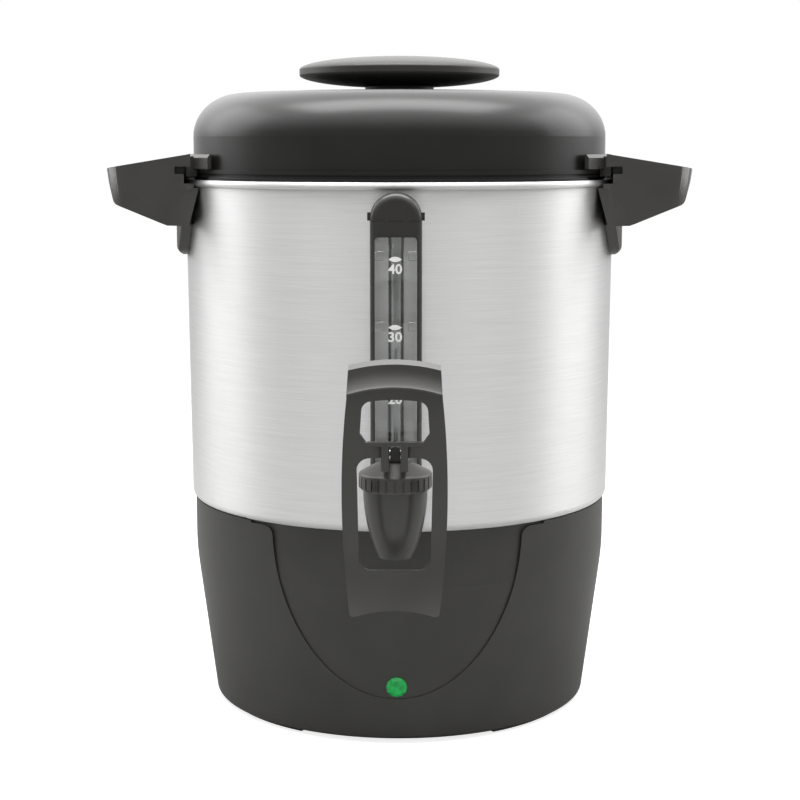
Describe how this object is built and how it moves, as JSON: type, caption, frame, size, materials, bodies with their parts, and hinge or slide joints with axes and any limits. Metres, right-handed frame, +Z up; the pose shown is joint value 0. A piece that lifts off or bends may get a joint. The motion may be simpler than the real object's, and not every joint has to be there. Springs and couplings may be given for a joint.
{
  "type": "coffee urn",
  "caption": "Round coffee urn: brushed steel vessel on a dark base, twist lid with wide knob, hood handles, sight gauge and cup-trip tap with loop handle.",
  "frame": {"origin": "on the vessel's axis, at the surface that the urn stands on", "axes": "+Z up along the vessel's axis, the tap and the gauge face -Y, the handles lie along X"},
  "size_m": [0.3252, 0.3043, 0.3613],
  "materials": {
    "brushed_steel": "satin, brushed round the vessel",
    "plain_steel": "plain drawn",
    "zinc": "zinc plated",
    "seal": "matte",
    "silicone": "matte",
    "heater": "cast",
    "thermostat": "matte",
    "base_plastic": "satin",
    "shield": "mill",
    "lens": "clear green, faceted",
    "bulb": "clear",
    "gland": "satin",
    "terminal": "matte",
    "wire": "matte",
    "handle_plastic": "satin",
    "gauge_plastic": "satin",
    "clear_window": "clear",
    "sight_tube": "clear",
    "tap_plastic": "satin",
    "lid_plastic": "satin",
    "aluminium": "drawn, mill finish"
  },
  "bodies": {
    "urn": {"vessel": "brushed_steel", "heat_well": "plain_steel", "heat_well_nut": "zinc", "heat_well_gasket": "seal", "brew_heater": "heater", "keep_warm_heater": "heater", "thermostat": "thermostat", "thermal_fuse": "zinc", "base_shell": "base_plastic", "bottom_cover": "base_plastic", "bottom_screws": "zinc", "stud_nuts": "zinc", "heat_shield": "shield", "indicator_lens": "lens", "indicator_lamp": "bulb", "lamp_clip": "zinc", "cord_gland": "gland", "terminal_block": "terminal", "heater_wires": "wire", "lamp_wires": "wire", "handle_right": "handle_plastic", "handle_left": "handle_plastic", "lid_catch_right": "handle_plastic", "lid_catch_left": "handle_plastic", "handle_screws": "zinc", "handle_nuts": "zinc", "gauge_cover": "gauge_plastic", "gauge_window": "clear_window", "gauge_tube": "sight_tube", "gauge_seals": "seal", "gauge_cap": "gauge_plastic", "gauge_push_nut": "zinc", "tap_body": "tap_plastic", "tap_washer_outer": "seal", "tap_washer_inner": "seal", "tap_shank_nut": "tap_plastic", "tap_bonnet": "tap_plastic"},
    "stem": {"tap_stem": "tap_plastic", "tap_seat_cup": "silicone", "tap_handle_pin": "plain_steel"},
    "tap_lever": {"tap_handle": "tap_plastic"},
    "lid_carrier": {"knob_screw": "zinc", "knob_washer": "zinc"},
    "lid": {"lid_shell": "lid_plastic", "lid_knob": "lid_plastic"},
    "brew": {"pump_tube": "aluminium", "pump_base": "aluminium", "basket_stop": "aluminium", "basket": "aluminium"},
    "cover": {"basket_cover": "aluminium"},
    "valve": {"pump_washer": "aluminium"}
  },
  "joints": [
    {"name": "handle_tilt", "type": "hinge", "parent": "stem", "child": "tap_lever", "pos_m": [0, -0.152, 0.1639], "axis": [1, 0, 0], "range_deg": [0, 14]},
    {"name": "stem_lift", "type": "slide", "parent": "urn", "child": "stem", "axis": [0, 0, 1], "range_m": [0, 0.0047], "stiffness_N_per_m": 60, "springref_m": -0.015},
    {"name": "lid_lift", "type": "slide", "parent": "urn", "child": "lid_carrier", "axis": [0, 0, 1], "range_m": [0, 0.42]},
    {"name": "lid_turn", "type": "hinge", "parent": "lid_carrier", "child": "lid", "pos_m": [0, 0, 0.3], "axis": [0, 0, 1], "range_deg": [0, 25]},
    {"name": "brew_lift", "type": "slide", "parent": "urn", "child": "brew", "axis": [0, 0, 1], "range_m": [0, 0.241]},
    {"name": "cover_lift", "type": "slide", "parent": "urn", "child": "cover", "axis": [0, 0, 1], "range_m": [0, 0.301]},
    {"name": "valve_lift", "type": "slide", "parent": "brew", "child": "valve", "axis": [0, 0, 1], "range_m": [0, 0.002]}
  ],
  "couplings": [
    {"joint": "handle_tilt", "follows": "stem_lift", "rad_per_m": 50},
    {"joint": "brew_lift", "follows": "lid_lift", "ratio": 0.57},
    {"joint": "cover_lift", "follows": "lid_lift", "ratio": 0.714}
  ]
}
